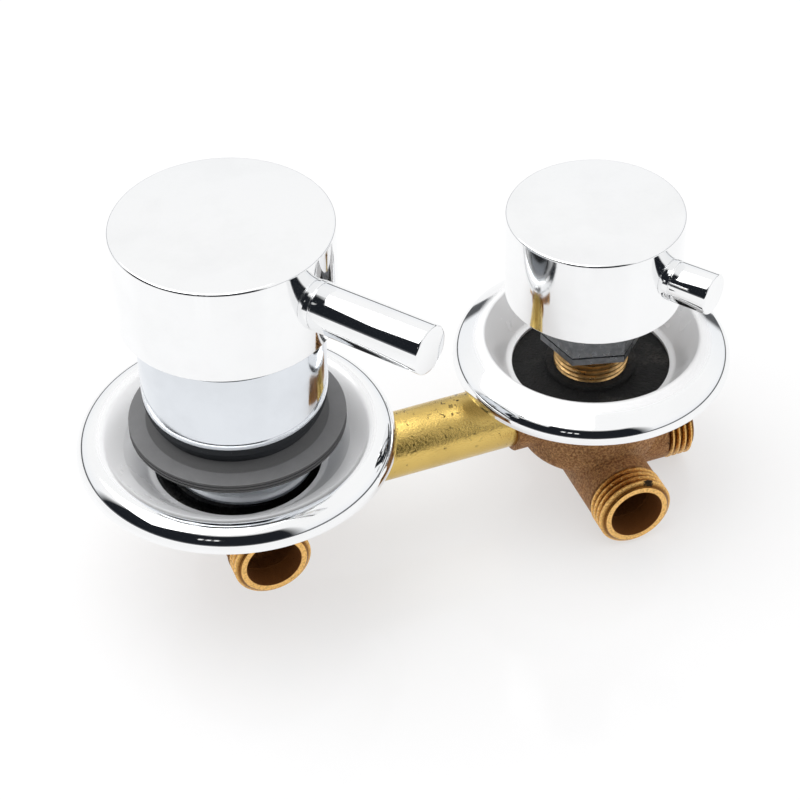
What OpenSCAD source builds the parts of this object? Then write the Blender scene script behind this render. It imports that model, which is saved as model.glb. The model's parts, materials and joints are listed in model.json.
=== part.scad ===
// Shower mixer valve: a lever mixer and a diverter on one brass tube, with loose cover plates.
// Origin on the mixer axis at the height of the diverter ports, +X towards the diverter, +Z up.

/* [Layout] */
// Distance between the mixer axis and the diverter axis
axis_gap = 100; // [92:1:110]
// Height of the mixer ports above the diverter ports
inlet_z = 11; // [9:0.5:12]
// Height of the connecting tube above the diverter ports
tube_z = 18.2; // [17.5:0.1:19]

/* [Connecting tube] */
// Outer radius of the tube
tube_r = 8.8; // [8:0.1:9.2]
// Wall of the tube
tube_wall = 1.2; // [0.8:0.1:1.8]
// Metal left above the tube in the mixer casting
tube_cover = 0.8; // [0.5:0.1:1.5]
// Wall of the sockets round the tube
socket_wall = 1.4; // [1:0.1:1.6]
// Depth that the tube goes into the diverter socket
tube_insert = 5.5; // [4:0.5:8]

/* [Ports] */
// Crest radius of the port thread
thread_crest_r = 10.48; // [10.2:0.01:10.8]
// Root radius of the port thread
thread_root_r = 9.3; // [9:0.05:9.6]
// Pitch of the port thread
thread_pitch = 1.814; // [1.6:0.002:2]
// Flat land on each thread crest
thread_land = 0.4; // [0.2:0.05:0.5]
// Number of full turns of thread on a port
thread_turns = 4; // [3:1:5]
// Plain lead at the mouth of a port
thread_lead = 0.5; // [0.3:0.1:1]
// Radius of the rough neck behind the thread
port_neck_r = 10.2; // [9.8:0.1:10.4]
// Bore radius of each port
port_bore_r = 7.4; // [6.5:0.1:7.8]
// Distance from the mixer axis to its port faces
mixer_reach = 23.7; // [23:0.1:26]
// Distance from the diverter axis to its front and rear port faces
outlet_reach = 32.2; // [29:0.2:36]
// Distance from the diverter axis to its side port face
side_reach = 28.5; // [28:0.5:34]
// Depth of the wide bore in the mixer ports
mixer_bore_depth = 10.7; // [8:0.1:12]
// Depth of the wide bore in the front and rear diverter ports
outlet_bore_depth = 18.2; // [14:0.2:18.6]
// Depth of the wide bore in the side diverter port
side_bore_depth = 14.5; // [10:0.5:15]

/* [Mixer casting] */
// Radius of the round chamber
chamber_r = 19; // [18.4:0.1:20]
// Depth of the bottom of the chamber below the inlets
chamber_drop = 7; // [6:0.5:8]
// Taper at the bottom of the chamber
chamber_taper = 9.5; // [6:0.5:10]
// Radius of the shoulder that carries the cover plate
shoulder_r = 25; // [24:0.5:30]
// Thickness of that shoulder
shoulder_h = 3.5; // [3:0.5:5]
// Outer radius of the tower inside the sleeve
tower_r = 19.2; // [19:0.05:19.4]
// Bore radius of the tower, for the cartridge
tower_bore_r = 17.6; // [17.2:0.1:17.9]
// Radius of the water ways to the cartridge
water_way_r = 3; // [2:0.1:3.2]
// Radius of the way from the cartridge to the tube
mixed_way_r = 6; // [4:0.1:6.4]
// Length of the tube socket from the mixer axis
mixer_socket_x = 28; // [26:0.5:32]

/* [Sleeve and bonnet] */
// Depth of the recess that the sleeve foot stands in
sleeve_recess = 1.9; // [1:0.1:3]
// Gap between the tower and the neck of the sleeve
sleeve_gap = 0.4; // [0.3:0.05:0.5]
// Wall of the sleeve neck
sleeve_wall = 0.7; // [0.5:0.05:0.75]
// Height of the sleeve neck below the seal ring
sleeve_show = 15.7; // [13:0.1:18]
// Radius at the bottom of the bonnet flare
flare_foot_r = 21; // [20.7:0.1:21.6]
// Height of the bonnet flare
flare_h = 8.5; // [6:0.5:10]
// Wall of the bonnet
bonnet_wall = 1; // [0.8:0.1:1.2]
// Radius of the opening in the top of the dome
dome_mouth_r = 17; // [15:0.5:18]
// Height of the tilt pivot above the bottom of the bonnet
pivot_rise = 19; // [18:0.5:21]

/* [Seal ring] */
// Outer radius of the seal ring
ring_r = 28.1; // [26:0.1:30]
// Inner radius of the flat top of the seal ring
ring_flat_r = 23.6; // [22.5:0.1:25]
// Thickness of the seal ring
ring_h = 2.8; // [2:0.1:4]
// Height of the lip inside the seal ring
ring_lip = 1.6; // [1:0.1:2.5]
// Width of the fine grooves in the edge of the seal ring
ring_groove = 0.35; // [0.2:0.05:0.5]

/* [Cover plates] */
// Sheet thickness of the cover plates
plate_t = 1; // [0.8:0.1:1.2]
// Width of the flat foot round the hole of the cover plates
plate_foot = 1.5; // [1:0.1:2]
// Height of the straight edge under the rims
plate_edge = 0.6; // [0.4:0.1:1]
// Outer radius of the mixer cover plate
mixer_plate_r = 41.7; // [40:0.1:46]
// Radius of the hole in the mixer cover plate
mixer_plate_hole_r = 22; // [21.8:0.1:23]
// Sideways rest position of the loose mixer cover plate
mixer_plate_shift = -0.8; // [-1.2:0.1:1.2]
// Radius at which the funnel of the mixer cover plate ends
mixer_crest_r = 29.4; // [28:0.1:31]
// Height at which that funnel ends above the foot of the plate
mixer_crest_h = 7.5; // [6:0.1:9]
// Rounding of the rim of the mixer cover plate
mixer_rim_r = 5; // [3.5:0.1:5.6]
// Height of the edge of the mixer cover plate above its foot
mixer_edge_h = 6.1; // [4:0.1:8]
// Outer radius of the diverter cover plate
diverter_plate_r = 37.5; // [36:0.1:42]
// Radius of the hole in the diverter cover plate
diverter_plate_hole_r = 21.35; // [20.5:0.05:22.5]
// Radius of the crest of the diverter cover plate
diverter_crest_r = 29.1; // [28:0.1:30]
// Height of that crest above the foot of the plate
diverter_crest_h = 11.1; // [9:0.1:12]
// Rounding of the rim of the diverter cover plate
diverter_rim_r = 4.2; // [3:0.1:4.8]
// Height of the edge of the diverter cover plate above its foot
diverter_edge_h = 3.2; // [2:0.1:5]
// Height of the diverter plate above the mixer plate
seat_step = 0.7; // [0.4:0.1:1.5]

/* [Cartridge] */
// Height of the cartridge base
base_h = 4; // [3.5:0.1:4.5]
// Height of the fixed ceramic disc
fixed_disc_h = 4; // [3:0.1:4.5]
// Height of the moving ceramic disc
moving_disc_h = 3.4; // [3:0.1:3.8]
// Height of the disc carrier
carrier_h = 4.6; // [4.4:0.1:5]
// Radius of the moving ceramic disc
moving_disc_r = 12; // [11:0.1:12.4]
// Height of the wide foot of the driver
driver_foot_h = 4.8; // [3.5:0.1:5.5]
// Height of the roof of the cartridge housing
housing_roof = 4; // [3:0.1:5]
// Wall of the cartridge housing
housing_wall = 2; // [1.6:0.1:2.1]
// Radius of the driver neck
driver_r = 11.2; // [10.5:0.1:11.6]
// Height of the pivot above the cartridge housing
pivot_over_housing = 3.5; // [3:0.1:4]
// Height of the driver neck above the pivot
driver_over_pivot = 4; // [3.2:0.1:4.2]
// Radius of the pivot pin
pin_r = 2; // [1.6:0.1:2.2]
// Length of the pivot pin
pin_len = 20; // [18:0.5:20.5]
// Width of the lever stem along the lever
stem_w = 7.2; // [6:0.1:7.6]
// Thickness of the lever stem across the lever
stem_t = 6; // [5:0.1:6.4]
// Distance from the pivot down to the ball of the stem
stem_arm = 15; // [14.8:0.05:15.1]
// Radius of the ball at the end of the stem
stem_ball_r = 2.2; // [2:0.05:2.3]
// Tilt of the lever from shut to full flow, in degrees
tilt_travel = 20; // [16:0.5:20]
// Radius of the holes in the base and the fixed disc
disc_port_r = 3; // [2:0.1:3.1]
// Distance of the two inlet holes from the middle plane
inlet_hole_y = 8; // [7.5:0.1:8.5]
// Distance of the outlet hole from the middle
outlet_hole_x = 9; // [8.5:0.1:9.5]

/* [Retaining nut] */
// Wall of the retaining nut over the tower
nut_wall = 3; // [2.5:0.1:3.2]
// Gap between the retaining nut and the wall of the bonnet
nut_gap = 0.7; // [0.5:0.1:1.5]
// Length of tower thread that the nut covers
nut_grip = 8; // [6:0.5:10]
// Thickness of the flange of the nut
nut_flange = 3; // [2:0.1:3.4]
// Width of the spanner slots in the nut
nut_slot_w = 4; // [3:0.1:6]

/* [Mixer handle] */
// Direction of the mixer lever, in degrees from +X
mixer_azimuth = -55.5; // [-60:0.5:60]
// Gap between the bonnet and the wall of the mixer handle
handle_gap = 2; // [1.5:0.1:2.5]
// Height of the mixer handle
handle_h = 26.6; // [25.5:0.1:30]
// Side wall of the mixer handle
handle_wall = 2; // [1.8:0.1:2.2]
// Roof of the mixer handle
handle_roof = 4.6; // [3.5:0.1:5]
// Height of the handle rim above the tilt pivot
handle_lift = 13; // [12.5:0.1:14]
// Rounding of the outer edges of the handles
edge_r = 0.5; // [0.3:0.1:1]
// Radius of the hub inside the mixer handle
hub_r = 8.5; // [7.5:0.1:9]
// Radius of the mixer lever
lever_r = 6.3; // [5:0.1:6.5]
// Distance from the mixer axis to the end of the lever
lever_end = 60.2; // [50:0.2:75]

/* [Diverter casting] */
// Radius of the bowl
bowl_r = 19.5; // [19:0.1:21]
// Height of the bottom of the bowl above the port axis
bowl_z = 3; // [1:0.5:5]
// Rounding of the bottom of the bowl
bowl_round = 4.5; // [2:0.5:6]
// Radius of the shoulder that carries the cover plate
bowl_shoulder_r = 24; // [23:0.5:28]
// Thickness of that shoulder
bowl_shoulder_h = 3; // [2:0.5:5]
// Height of the boss above the shoulder
boss_h = 1.5; // [1:0.1:2.5]
// Radius of the boss on each casting, the mixer's inside its tower
boss_r = 12.5; // [12.2:0.1:14]
// Radius of the water chamber
bowl_chamber_r = 14; // [12.5:0.1:15]
// Metal between the ports and the chamber floor
floor_wall = 3.1; // [2:0.1:3.5]
// Metal between the chamber and the threaded neck of the bowl
neck_depth = 7; // [5:0.1:8]
// Distance from the diverter axis to the end of the tube socket
bowl_socket_x = 25; // [23:0.5:30]
// Radius of each rising water way
rise_r = 2; // [1.5:0.1:2.2]
// Distance of the rising water ways from the diverter axis
rise_at = 5.2; // [4.8:0.1:5.4]
// Radius of each cross way under the chamber
cross_way_r = 3; // [2.2:0.1:3]

/* [Headpart] */
// Width across flats of the hexagon
hex_af = 24; // [22:0.5:26]
// Height of the hexagon
hex_h = 12; // [9:0.5:14]
// Direction that one flat faces, in degrees from +X
hex_azimuth = -106; // [-120:1:-90]
// Height of the fine groove above the lower edge of the hexagon
hex_groove_z = 2; // [1.5:0.1:4]
// Length of thread that shows below the hexagon
thread_show = 8; // [7:0.5:10]
// Crest radius of the headpart thread
head_thread_r = 10; // [9.8:0.05:10.3]
// Depth of the headpart thread
head_thread_depth = 0.7; // [0.4:0.05:0.8]
// Pitch of the headpart thread
head_thread_pitch = 1.5; // [1.25:0.05:1.6]
// Outer radius of the cage below the thread
cage_r = 9; // [8.8:0.1:9.4]
// Bore radius of the cage
cage_bore_r = 7.8; // [7.6:0.1:8]
// Height of the round neck above the hexagon
head_neck_h = 6.2; // [5:0.1:7]
// Radius of the round neck above the hexagon
head_neck_r = 8.5; // [7:0.1:9.5]
// Height of the seal under the fixed disc
seat_seal_h = 0.8; // [0.5:0.1:1.2]
// Height of each diverter disc
disc_h = 3; // [2.6:0.1:3.2]
// Radius of the spindle
spindle_r = 4.05; // [3.6:0.05:4.4]
// Side of the square drive of the spindle
drive_w = 5.6; // [4.8:0.1:5.8]
// Thickness of the spindle clip
clip_t = 0.7; // [0.5:0.05:0.9]
// Outer radius of the spindle clip
clip_r = 6; // [5.4:0.1:6.6]

/* [Diverter handle] */
// Direction of the diverter lever, in degrees from +X
diverter_azimuth = -56; // [-90:1:90]
// Outer radius of the diverter handle
knob_r = 23.5; // [22:0.1:26]
// Height of the diverter handle
knob_h = 25.3; // [24:0.1:28]
// Side wall of the diverter handle
knob_wall = 1.8; // [1.5:0.1:2.4]
// Roof of the diverter handle
knob_roof = 4; // [3:0.1:5]
// Height of the handle rim above the hexagon
knob_lift = 4.3; // [3:0.1:5]
// Radius of the hub inside the diverter handle
knob_hub_r = 7.5; // [6.5:0.1:8]
// Radius of the diverter lever
knob_lever_r = 5.5; // [4.5:0.1:6]
// Distance from the diverter axis to the end of its lever
knob_lever_end = 35.4; // [32:0.2:50]

/* [Fits] */
// Gap round fixed pieces that slide into each other
slip = 0.05; // [0.03:0.01:0.08]
// Running gap of shafts and pins
running = 0.05; // [0.03:0.01:0.08]
// Gap between pieces that move past each other
free_gap = 0.3; // [0.3:0.05:0.4]

/* [Hidden] */
$fn = 96;
eps = 0.01;

// Length of cuts that run right through a piece
long = axis_gap;

// Heights that the cover plates and the sleeve stand at
mixer_seat_z = tube_z + tube_r + tube_cover;
diverter_seat_z = mixer_seat_z + seat_step;
sleeve_foot_z = mixer_seat_z - sleeve_recess;
ring_z = sleeve_foot_z + sleeve_show;
bonnet_z = ring_z + ring_h + ring_lip;
pivot_z = bonnet_z + pivot_rise;
sleeve_bore_r = tower_r + sleeve_gap;
sleeve_r = sleeve_bore_r + sleeve_wall;
recess_r = sleeve_r + 1.3;
nut_r = tower_r + nut_wall;
bonnet_r = nut_r + nut_gap + bonnet_wall;
chamber_z = inlet_z - chamber_drop;

// Stack of the cartridge, from the pivot down to the floor of the tower
housing_top_z = pivot_z - pivot_over_housing;
driver_foot_top_z = housing_top_z - housing_roof - free_gap;
driver_z = driver_foot_top_z - driver_foot_h;
carrier_z = driver_z - free_gap - 0.1 - carrier_h;
moving_disc_z = carrier_z - moving_disc_h;
fixed_disc_z = moving_disc_z - fixed_disc_h;
cartridge_z = fixed_disc_z - base_h;
cartridge_r = tower_bore_r - 0.2;
housing_bore_r = cartridge_r - housing_wall;
arm_lean = tilt_travel / 2;
disc_offset = stem_arm * sin(arm_lean);
inlet_hole_x = -3;
seal_r = disc_port_r + 1.6;
seal_h = 1.2;
arm_r = stem_ball_r - 0.3;

// Sleeve seals and the shape of the bonnet
sleeve_seal_r = 0.9;
sleeve_groove_h = 2 * sleeve_seal_r + 0.2;
sleeve_seal_ring_r = sleeve_bore_r - slip - sleeve_seal_r;
seal_pitch = 4;
sleeve_seals_z = [sleeve_foot_z + 3.1, sleeve_foot_z + 3.1 + seal_pitch];
flare_dr = bonnet_r - flare_foot_r;
flare_radius = (flare_dr * flare_dr + flare_h * flare_h) / (2 * flare_dr);
handle_bore_r = bonnet_r + handle_gap;
handle_r = handle_bore_r + handle_wall;
dome_r = handle_bore_r - free_gap - 0.1;

// Mixer handle, in heights above its rim
handle_z = pivot_z + handle_lift;
lever_h = handle_h / 2;
hub_lift = 12;
stem_top = handle_h - handle_roof - 2;
rib_r = 5.2;
lever_root = handle_r - 1.2;
spigot_r = 3;
spigot_root = 14.5;
grub_r = 2.5;
chamfer = 0.5;
root_groove = 0.4;
root_groove_w = 0.5;

// Heights of the diverter
boss_z = diverter_seat_z + boss_h;
hex_z = boss_z + thread_show;
hex_top_z = hex_z + hex_h;
head_top_z = hex_top_z + head_neck_h;
bowl_floor_z = port_bore_r + floor_wall;
neck_z = diverter_seat_z - neck_depth;
stator_z = bowl_floor_z + seat_seal_h;
rotor_z = stator_z + disc_h;
rotor_top_z = rotor_z + disc_h;
rotor_r = cage_bore_r - free_gap - 0.1;
key_h = 1.3;
window_h = 1.6;
window_w = 6;
flange_z = rotor_top_z + window_h + 0.3;
cage_roof_z = neck_z + 0.5;
clip_z = head_top_z + free_gap + 0.05;
knob_z = hex_top_z + knob_lift;
knob_lever_h = knob_h / 2;
knob_hub_lift = 4.2;
drive_top = knob_h - knob_roof - 2.6;
knob_bore_r = knob_r - knob_wall;
knob_rib_r = 4.8;
knob_lever_root = knob_r - 1.2;
knob_spigot_r = 2.6;
knob_spigot_root = 12;
knob_grub_r = 2.2;
hex_groove = 0.45;
clip_gap = 4;
spindle_seal_r = 0.55;
spindle_seal_ring_r = spindle_r + running - 0.05 - spindle_seal_r;
spindle_seals_z = [hex_z - 2 * seal_pitch, hex_z - seal_pitch];

// Solid made by turning an outline of [radius, height] points
module turned(points) {
    rotate_extrude() polygon(points);
}

// Bar along +X from x0 to x1, used for bores and ways too
module bar(r, x0, x1) {
    translate([x0, 0, 0]) rotate([0, 90, 0]) cylinder(r = r, h = x1 - x0);
}

// Outline points of the crests of a thread, from height z0 up
function crests(turns, pitch, land, root, crest, z0) = [
    for (k = [0 : turns - 1])
    for (q = [[root, 0.08], [crest, 0.5 - land / pitch / 2], [crest, 0.5 + land / pitch / 2], [root, 0.92]])
    [q[0], z0 + (k + q[1]) * pitch]
];

// Threaded port stub along +Z, solid, with its face at the given reach
module port(reach) {
    start = reach - thread_lead - thread_turns * thread_pitch;
    turned(concat(
        [[0, 0], [port_neck_r, 0], [port_neck_r, start - 0.4], [thread_root_r, start]],
        crests(thread_turns, thread_pitch, thread_land, thread_root_r, thread_crest_r, start),
        [[thread_root_r, reach - 0.3], [thread_root_r - 0.3, reach], [0, reach]]
    ));
}

// Places a child that points along +Z so that it points sideways in direction a
module sideways(a) {
    rotate([0, 0, a]) rotate([0, 90, 0]) children();
}

// Round cup, open below, with rounded outer edge on top
module cup(r, h, wall, roof) {
    rotate_extrude() difference() {
        union() {
            square([r - edge_r, h]);
            square([r, h - edge_r]);
            translate([r - edge_r, h - edge_r]) circle(r = edge_r);
        }
        translate([-1, -1]) square([r - wall + 1, h - roof + 1]);
        translate([-2 * r, -h]) square([2 * r, 3 * h]);
    }
}

// Unit normal on the left of the way from a to b
function left_of(a, b) = [a[1] - b[1], b[0] - a[0]] / norm(b - a);

// Corner at b of the line that runs at distance t on the right of the line a, b, c
function inner(a, b, c, t) = let (m = left_of(a, b), n = left_of(b, c)) b - t * (m + n) / (1 + m * n);

// Cover plate on height 0: flat foot, steep funnel up to the crest and a rim rounded down to its edge
module cover_plate(r, hole_r, crest, rim_r, edge_h) {
    rim = [r - rim_r, edge_h + plate_edge];
    way = crest - rim;
    turn = atan2(way[1], way[0]) - acos(rim_r / norm(way));
    out = [cos(turn), sin(turn)];
    hole = [hole_r, plate_t];
    foot = [hole_r + plate_foot, plate_t];
    rotate_extrude() {
        polygon([
            hole, foot, crest, rim + rim_r * out, rim + (rim_r - plate_t) * out,
            inner(foot, crest, rim + rim_r * out, plate_t), inner(hole, foot, crest, plate_t), [hole_r, 0]
        ]);
        intersection() {
            translate(rim) difference() {
                circle(r = rim_r);
                circle(r = rim_r - plate_t);
            }
            translate(rim)
                polygon([for (k = [-1 : 4]) k < 0 ? [0, 0] : 2 * rim_r * [cos(k * turn / 4), sin(k * turn / 4)]]);
        }
        translate([r - plate_t, edge_h]) square([plate_t, plate_edge]);
    }
}

// Round lever bar along +X with a fine groove at its root and a spigot inside the handle
module lever_bar(r, root, end, face, peg_r, peg_root) {
    rotate([0, 90, 0]) turned([
        [0, peg_root], [peg_r, peg_root], [peg_r, root], [r, root],
        [r, face + 1], [r - root_groove, face + 1],
        [r - root_groove, face + 1 + root_groove_w], [r, face + 1 + root_groove_w],
        [r, end - chamfer], [r - chamfer, end], [0, end]
    ]);
}

// Grub screw along +X from x0 to x1 with a hexagon socket in its outer end
module grub(r, x0, x1) {
    difference() {
        bar(r, x0, x1);
        translate([x1 - 2, 0, 0]) rotate([0, 90, 0]) cylinder(r = r * 0.6, h = 3, $fn = 6);
    }
}

// Holes of the inlets and the outlet of the cartridge
module cartridge_holes(r, z0, z1) {
    for (side = [-1, 1]) {
        translate([inlet_hole_x, side * inlet_hole_y, z0]) cylinder(r = r, h = z1 - z0);
    }
    translate([outlet_hole_x, 0, z0]) cylinder(r = r, h = z1 - z0);
}

// Three holes over the rising ways of the diverter
module rise_holes(z0, z1) {
    for (a = [-90, 0, 90]) {
        rotate([0, 0, a]) translate([rise_at, 0, z0]) cylinder(r = rise_r, h = z1 - z0);
    }
}

module mixer_body() {
    color("peru") difference() {
        union() {
            turned([
                [0, chamber_z], [chamber_r - chamber_taper, chamber_z],
                [chamber_r, chamber_z + chamber_taper], [chamber_r, mixer_seat_z - shoulder_h - 3],
                [shoulder_r, mixer_seat_z - shoulder_h], [shoulder_r, mixer_seat_z], [0, mixer_seat_z]
            ]);
            translate([0, 0, mixer_seat_z - eps]) cylinder(r = boss_r, h = cartridge_z - mixer_seat_z + eps);
            translate([0, 0, inlet_z]) {
                for (a = [-90, 90]) {
                    sideways(a) port(mixer_reach);
                }
            }
            intersection() {
                translate([0, 0, tube_z]) bar(tube_r + slip + socket_wall, 0, mixer_socket_x);
                translate([0, -long / 2, 0]) cube([long, long, mixer_seat_z]);
            }
        }
        difference() {
            translate([0, 0, sleeve_foot_z]) cylinder(r = recess_r, h = long);
            translate([0, 0, sleeve_foot_z - 1]) cylinder(r = boss_r, h = 2 * long);
        }
        translate([outlet_hole_x, 0, tube_z]) cylinder(r = water_way_r, h = cartridge_z + 1 - tube_z);
        for (side = [-1, 1]) {
            translate([inlet_hole_x, side * inlet_hole_y, inlet_z])
                cylinder(r = water_way_r, h = cartridge_z + 1 - inlet_z);
        }
        translate([0, 0, inlet_z]) {
            for (a = [-90, 90]) {
                rotate([0, 0, a]) {
                    bar(port_bore_r, mixer_reach - mixer_bore_depth, mixer_reach + 1);
                    bar(water_way_r + 0.4, inlet_hole_y - 1.5, mixer_reach - 1);
                }
            }
        }
        translate([0, 0, tube_z]) bar(mixed_way_r, outlet_hole_x - water_way_r - 1.5, mixer_socket_x);
        translate([0, 0, tube_z]) bar(tube_r + slip, recess_r + 0.2, mixer_socket_x + 1);
    }
}

module mixer_tower() {
    color("goldenrod") difference() {
        turned([
            [boss_r + slip, sleeve_foot_z], [tower_r, sleeve_foot_z], [tower_r, housing_top_z],
            [tower_bore_r, housing_top_z], [tower_bore_r, cartridge_z], [boss_r + slip, cartridge_z]
        ]);
        for (z = sleeve_seals_z) {
            translate([0, 0, z - sleeve_groove_h / 2]) rotate_extrude()
                translate([sleeve_seal_ring_r - sleeve_seal_r - slip, 0]) square([sleeve_r, sleeve_groove_h]);
        }
    }
}

module connecting_tube() {
    color("gold") translate([0, 0, tube_z]) difference() {
        bar(tube_r, recess_r + 0.3, axis_gap - bowl_socket_x + tube_insert);
        bar(tube_r - tube_wall, 0, axis_gap);
    }
}

module diverter_body() {
    color("sienna") translate([axis_gap, 0, 0]) difference() {
        union() {
            rotate_extrude() intersection() {
                union() {
                    translate([-1, bowl_z]) square([bowl_r - bowl_round + 1, diverter_seat_z - bowl_z]);
                    translate([-1, bowl_z + bowl_round])
                        square([bowl_r + 1, diverter_seat_z - bowl_z - bowl_round]);
                    translate([bowl_r - bowl_round, bowl_z + bowl_round]) circle(r = bowl_round);
                }
                square([bowl_r + 1, diverter_seat_z]);
            }
            turned([
                [0, diverter_seat_z - bowl_shoulder_h - 3], [bowl_r - 1, diverter_seat_z - bowl_shoulder_h - 3],
                [bowl_shoulder_r, diverter_seat_z - bowl_shoulder_h], [bowl_shoulder_r, diverter_seat_z],
                [boss_r, diverter_seat_z], [boss_r, boss_z - 0.4], [boss_r - 0.4, boss_z], [0, boss_z]
            ]);
            sphere(r = port_neck_r);
            for (a = [-90, 90]) {
                sideways(a) port(outlet_reach);
            }
            sideways(0) port(side_reach);
            translate([0, 0, tube_z]) bar(tube_r + slip + socket_wall - 0.05, -bowl_socket_x, 0);
        }
        translate([0, 0, bowl_floor_z]) cylinder(r = bowl_chamber_r, h = neck_z - bowl_floor_z);
        translate([0, 0, neck_z - eps]) cylinder(r = head_thread_r + 2 * slip, h = long);
        rise_holes(0, bowl_floor_z + eps);
        for (a = [-90, 0, 90]) {
            rotate([0, 0, a]) bar(cross_way_r, cross_way_r + 0.6, outlet_reach - outlet_bore_depth + 1);
        }
        for (a = [-90, 90]) {
            rotate([0, 0, a]) bar(port_bore_r, outlet_reach - outlet_bore_depth, outlet_reach + 1);
        }
        bar(port_bore_r, side_reach - side_bore_depth, side_reach + 1);
        translate([0, 0, tube_z]) {
            bar(tube_r + slip, -bowl_socket_x - 1, -bowl_socket_x + tube_insert + 0.1);
            bar(tube_r - tube_wall, -bowl_socket_x, -bowl_chamber_r * 0.7);
        }
    }
}

module cartridge_base() {
    color("darkslategray") difference() {
        translate([0, 0, cartridge_z]) cylinder(r = cartridge_r, h = base_h);
        cartridge_holes(disc_port_r, cartridge_z - 1, fixed_disc_z + 1);
        cartridge_holes(seal_r + slip, cartridge_z - 1, cartridge_z + seal_h);
    }
}

module base_seals() {
    color("black") difference() {
        cartridge_holes(seal_r, cartridge_z, cartridge_z + seal_h);
        cartridge_holes(disc_port_r + 0.2, cartridge_z - 1, cartridge_z + seal_h + 1);
    }
}

module fixed_disc() {
    color("ivory") difference() {
        translate([0, 0, fixed_disc_z]) cylinder(r = housing_bore_r - slip, h = fixed_disc_h);
        cartridge_holes(disc_port_r, fixed_disc_z - 1, moving_disc_z + 1);
    }
}

// The moving disc stands off centre, away from the lever, while the valve is shut
module moving_disc() {
    color("white") rotate([0, 0, mixer_azimuth]) translate([-disc_offset, 0, moving_disc_z]) difference() {
        cylinder(r = moving_disc_r, h = moving_disc_h);
        translate([1, 0, -1]) cylinder(r = moving_disc_r * 0.62, h = moving_disc_h * 0.55 + 1);
    }
}

module disc_carrier() {
    color("dimgray") rotate([0, 0, mixer_azimuth]) translate([-disc_offset, 0, carrier_z]) difference() {
        cylinder(r = moving_disc_r, h = carrier_h);
        translate([0, 0, -1]) cylinder(r = stem_ball_r + 0.15, h = carrier_h + 2);
    }
}

module cartridge_housing() {
    color("slategray") difference() {
        translate([0, 0, fixed_disc_z]) cylinder(r = cartridge_r, h = housing_top_z - fixed_disc_z);
        translate([0, 0, fixed_disc_z - 1])
            cylinder(r = housing_bore_r, h = housing_top_z - housing_roof - fixed_disc_z + 1);
        translate([0, 0, fixed_disc_z]) cylinder(r = driver_r + running, h = long);
    }
}

module stem_driver() {
    color("whitesmoke") rotate([0, 0, mixer_azimuth]) difference() {
        union() {
            translate([0, 0, driver_z]) cylinder(r = housing_bore_r - free_gap, h = driver_foot_h);
            translate([0, 0, driver_z]) cylinder(r = driver_r, h = pivot_z + driver_over_pivot - driver_z);
        }
        translate([-stem_w / 2 - 2.4, -stem_t / 2 - free_gap - 0.05, driver_z - 1])
            cube([stem_w + 4.8, stem_t + 2 * free_gap + 0.1, long]);
        translate([0, driver_r + 1, pivot_z]) rotate([90, 0, 0]) cylinder(r = pin_r + slip, h = 2 * driver_r + 2);
    }
}

module stem_pin() {
    color("silver") rotate([0, 0, mixer_azimuth]) translate([0, pin_len / 2, pivot_z])
        rotate([90, 0, 0]) cylinder(r = pin_r, h = pin_len);
}

module mixer_stem() {
    color("silver") rotate([0, 0, mixer_azimuth]) translate([0, 0, pivot_z]) difference() {
        union() {
            translate([-stem_w / 2, -stem_t / 2, -3.4]) cube([stem_w, stem_t, handle_lift + stem_top + 3.4]);
            translate([0, stem_t / 2, 0]) rotate([90, 0, 0]) cylinder(r = pin_r + 2.2, h = stem_t);
            rotate([0, arm_lean, 0]) {
                translate([0, 0, -stem_arm]) cylinder(r = arm_r, h = stem_arm);
                translate([0, 0, -stem_arm]) sphere(r = stem_ball_r);
            }
        }
        translate([0, stem_t, 0]) rotate([90, 0, 0]) cylinder(r = pin_r + running, h = 2 * stem_t);
    }
}

module retaining_nut() {
    color("goldenrod") difference() {
        translate([0, 0, housing_top_z - nut_grip]) cylinder(r = nut_r, h = nut_grip + nut_flange);
        translate([0, 0, housing_top_z - nut_grip - 1]) cylinder(r = tower_r + slip, h = nut_grip + 1);
        translate([0, 0, housing_top_z - 1]) cylinder(r = driver_r + 2, h = nut_flange + 2);
        for (a = [0, 90]) {
            rotate([0, 0, a]) translate([-long / 2, -nut_slot_w / 2, housing_top_z + nut_flange / 2])
                cube([long, nut_slot_w, nut_flange]);
        }
    }
}

module sleeve_seals() {
    color("black") for (z = sleeve_seals_z) {
        translate([0, 0, z]) rotate_extrude()
            translate([sleeve_seal_ring_r, 0]) circle(r = sleeve_seal_r);
    }
}

// Outline of the sleeve and bonnet, pulled in by a wall for the inside
module bonnet_outline(neck_r, wall, low) {
    straight_r = bonnet_r - wall;
    straight_z = bonnet_z + flare_h;
    ball_r = dome_r - wall;
    dome_z = pivot_z + sqrt(ball_r * ball_r - straight_r * straight_r);
    translate([0, low]) square([neck_r, bonnet_z - low + eps]);
    translate([0, bonnet_z]) square([bonnet_r - flare_radius, flare_h + 1]);
    intersection() {
        translate([bonnet_r - flare_radius, straight_z]) circle(r = flare_radius - wall);
        translate([0, bonnet_z]) square([straight_r, flare_h + 1]);
    }
    translate([0, straight_z]) square([straight_r, dome_z - straight_z]);
    intersection() {
        translate([0, pivot_z]) circle(r = ball_r);
        translate([0, dome_z - 1]) square([straight_r, ball_r]);
    }
}

module bonnet() {
    color("gainsboro") rotate_extrude() difference() {
        bonnet_outline(sleeve_r, 0, sleeve_foot_z);
        bonnet_outline(sleeve_bore_r, bonnet_wall, sleeve_foot_z - 1);
        translate([0, pivot_z]) square([dome_mouth_r, dome_r]);
    }
}

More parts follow.
